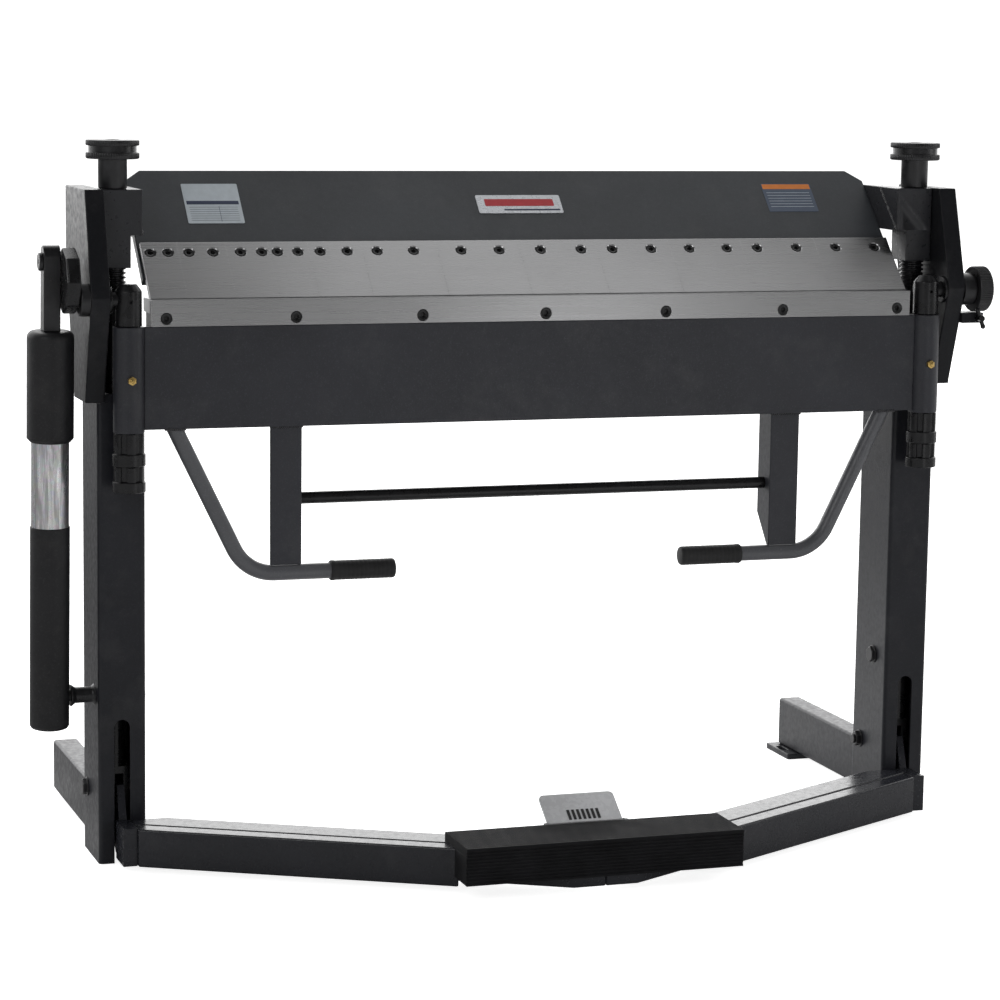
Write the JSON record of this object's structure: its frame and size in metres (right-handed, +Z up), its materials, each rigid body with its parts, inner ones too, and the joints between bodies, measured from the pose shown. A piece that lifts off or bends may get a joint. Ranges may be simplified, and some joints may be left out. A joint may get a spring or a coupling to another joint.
{
  "type": "foot-operated sheet metal brake",
  "caption": "Free-standing foot-clamped sheet metal folding brake: box legs, swinging bending leaf with handle, lifting clamp beam with segmented fingers, pedal, assist strut.",
  "frame": {"origin": "bottom centre of the whole machine's bounding box, on the floor", "axes": "+X along the bending line to the machine's right as the operator sees it, +Y from the operator to the back, +Z up"},
  "size_m": [1.595, 0.852, 1.127],
  "materials": {
    "frame_paint": "semi-gloss charcoal paint",
    "leaf_paint": "semi-gloss charcoal paint",
    "beam_paint": "semi-gloss charcoal paint",
    "pedal_paint": "semi-gloss charcoal paint, worn tread",
    "strut_paint": "satin charcoal paint",
    "ground_steel": "surface-ground steel",
    "black_oxide": "oiled black oxide on turned steel",
    "zinc_steel": "zinc plated steel",
    "spring_steel": "oiled spring steel",
    "grip_rubber": "matt black rubber",
    "brass": "turned brass",
    "plate_aluminium": "blank anodised plate",
    "label_film": "blank printed film"
  },
  "bodies": {
    "frame": {"leg_left": "frame_paint", "leg_right": "frame_paint", "foot_left": "frame_paint", "foot_right": "frame_paint", "cheek_left": "frame_paint", "cheek_right": "frame_paint", "bed_jaw": "ground_steel", "bed_beam": "frame_paint", "pivot_bolts": "zinc_steel", "seat_bolts": "zinc_steel", "spring_seats": "frame_paint", "return_springs": "spring_steel", "hinge_bushes": "black_oxide", "strut_anchor": "black_oxide", "lock_block": "frame_paint"},
    "lift_rods": {"tie_rod_left": "ground_steel", "tie_rod_right": "ground_steel", "rod_pins": "zinc_steel"},
    "clamp_beam": {"beam_plate": "beam_paint", "beam_back": "beam_paint", "arm_left": "beam_paint", "arm_right": "beam_paint", "clamp_fingers": "ground_steel", "finger_screws": "black_oxide", "data_plate": "plate_aluminium", "front_badge": "plate_aluminium", "side_label": "label_film"},
    "knob_l": {"knob_left": "black_oxide"},
    "knob_r": {"knob_right": "black_oxide"},
    "yokes": {"yoke_left": "black_oxide", "yoke_right": "black_oxide", "hinge_shafts": "ground_steel", "crank_plate": "black_oxide"},
    "leaf": {"leaf_plate": "leaf_paint", "leaf_strip": "ground_steel", "strip_screws": "black_oxide", "sleeve_left": "leaf_paint", "sleeve_right": "leaf_paint", "grease_nipples": "brass", "handle_left": "leaf_paint", "handle_right": "leaf_paint", "hand_grips": "grip_rubber", "leaf_posts": "leaf_paint", "cross_rod": "zinc_steel"},
    "adj_l": {"adjust_nut_left": "black_oxide"},
    "adj_r": {"adjust_nut_right": "black_oxide"},
    "lock_l": {"lock_nut_left": "black_oxide"},
    "lock_r": {"lock_nut_right": "black_oxide"},
    "strut_low": {"strut_lower": "strut_paint"},
    "strut_up": {"strut_tube": "zinc_steel", "strut_sleeve": "strut_paint", "strut_bar": "black_oxide", "strut_pin": "black_oxide"},
    "stop": {"stop_collar": "black_oxide"},
    "stop_screw": {"lock_screw": "zinc_steel"},
    "pedal": {"pedal_arm_left": "pedal_paint", "pedal_arm_right": "pedal_paint", "pedal_levers": "pedal_paint", "tread_cover": "pedal_paint"},
    "release": {"release_plate": "pedal_paint"}
  },
  "joints": [
    {"name": "clamp_lift", "type": "slide", "parent": "frame", "child": "lift_rods", "axis": [0, 0, 1], "range_m": [0, 0.03], "deforming": ["return_springs"]},
    {"name": "pressure_adjust", "type": "slide", "parent": "lift_rods", "child": "clamp_beam", "axis": [0, 0, 1], "range_m": [0, 0.012]},
    {"name": "knob_left_turn", "type": "hinge", "parent": "clamp_beam", "child": "knob_l", "pos_m": [-0.6585, -0.02, 1.1], "axis": [0, 0, 1], "range_deg": [0, 627.4]},
    {"name": "knob_right_turn", "type": "hinge", "parent": "clamp_beam", "child": "knob_r", "pos_m": [0.6955, -0.02, 1.1], "axis": [0, 0, 1], "range_deg": [0, 627.4]},
    {"name": "leaf_swing", "type": "hinge", "parent": "frame", "child": "yokes", "pos_m": [0.0185, -0.0917, 0.888], "axis": [-1, 0, 0], "range_deg": [0, 135]},
    {"name": "thickness_adjust", "type": "slide", "parent": "yokes", "child": "leaf", "axis": [0, 0, -1], "range_m": [0, 0.008]},
    {"name": "adjust_nut_left_turn", "type": "hinge", "parent": "leaf", "child": "adj_l", "pos_m": [-0.6501, -0.095, 0.665], "axis": [0, 0, 1], "range_deg": [0, 1476]},
    {"name": "adjust_nut_right_turn", "type": "hinge", "parent": "leaf", "child": "adj_r", "pos_m": [0.6871, -0.095, 0.665], "axis": [0, 0, 1], "range_deg": [0, 1476]},
    {"name": "lock_nut_left_turn", "type": "hinge", "parent": "leaf", "child": "lock_l", "pos_m": [-0.6501, -0.095, 0.61], "axis": [0, 0, 1], "range_deg": [0, 1476]},
    {"name": "lock_nut_right_turn", "type": "hinge", "parent": "leaf", "child": "lock_r", "pos_m": [0.6871, -0.095, 0.61], "axis": [0, 0, 1], "range_deg": [0, 1476]},
    {"name": "strut_pivot", "type": "hinge", "parent": "frame", "child": "strut_low", "pos_m": [-0.7615, -0.022, 0.265], "axis": [1, 0, 0], "range_deg": [-1, 3.5]},
    {"name": "strut_stroke", "type": "slide", "parent": "strut_low", "child": "strut_up", "axis": [0, -0.051, 0.9987], "range_m": [-0.121, 0.001]},
    {"name": "stop_turn", "type": "hinge", "parent": "yokes", "child": "stop", "pos_m": [0.7835, -0.0917, 0.888], "axis": [1, 0, 0], "range_deg": [-135, 135]},
    {"name": "stop_screw_turn", "type": "hinge", "parent": "frame", "child": "stop_screw", "pos_m": [0.7765, -0.119, 0.841], "axis": [0, -1, 0], "range_deg": [-180, 180]},
    {"name": "pedal_tread", "type": "hinge", "parent": "frame", "child": "pedal", "pos_m": [0.0185, 0.035, 0.104], "axis": [-1, 0, 0], "range_deg": [0, 30]},
    {"name": "release_press", "type": "hinge", "parent": "pedal", "child": "release", "pos_m": [0.0255, -0.3095, 0.078], "axis": [-1, 0, 0], "range_deg": [0, 20], "stiffness_Nm_per_rad": 4, "springref_deg": -17.19}
  ],
  "couplings": [
    {"joint": "knob_left_turn", "follows": "pressure_adjust", "rad_per_m": 897.6},
    {"joint": "knob_right_turn", "follows": "pressure_adjust", "rad_per_m": 897.6},
    {"joint": "adjust_nut_left_turn", "follows": "thickness_adjust", "rad_per_m": 3141.6},
    {"joint": "adjust_nut_right_turn", "follows": "thickness_adjust", "rad_per_m": 3141.6},
    {"joint": "lock_nut_left_turn", "follows": "thickness_adjust", "rad_per_m": 3141.6},
    {"joint": "lock_nut_right_turn", "follows": "thickness_adjust", "rad_per_m": 3141.6},
    {"joint": "pedal_tread", "follows": "clamp_lift", "rad_per_m": 16.645},
    {"joint": "strut_pivot", "follows": "leaf_swing", "ratio": 0.019867},
    {"joint": "strut_stroke", "follows": "leaf_swing", "m_per_rad": -0.050293}
  ]
}
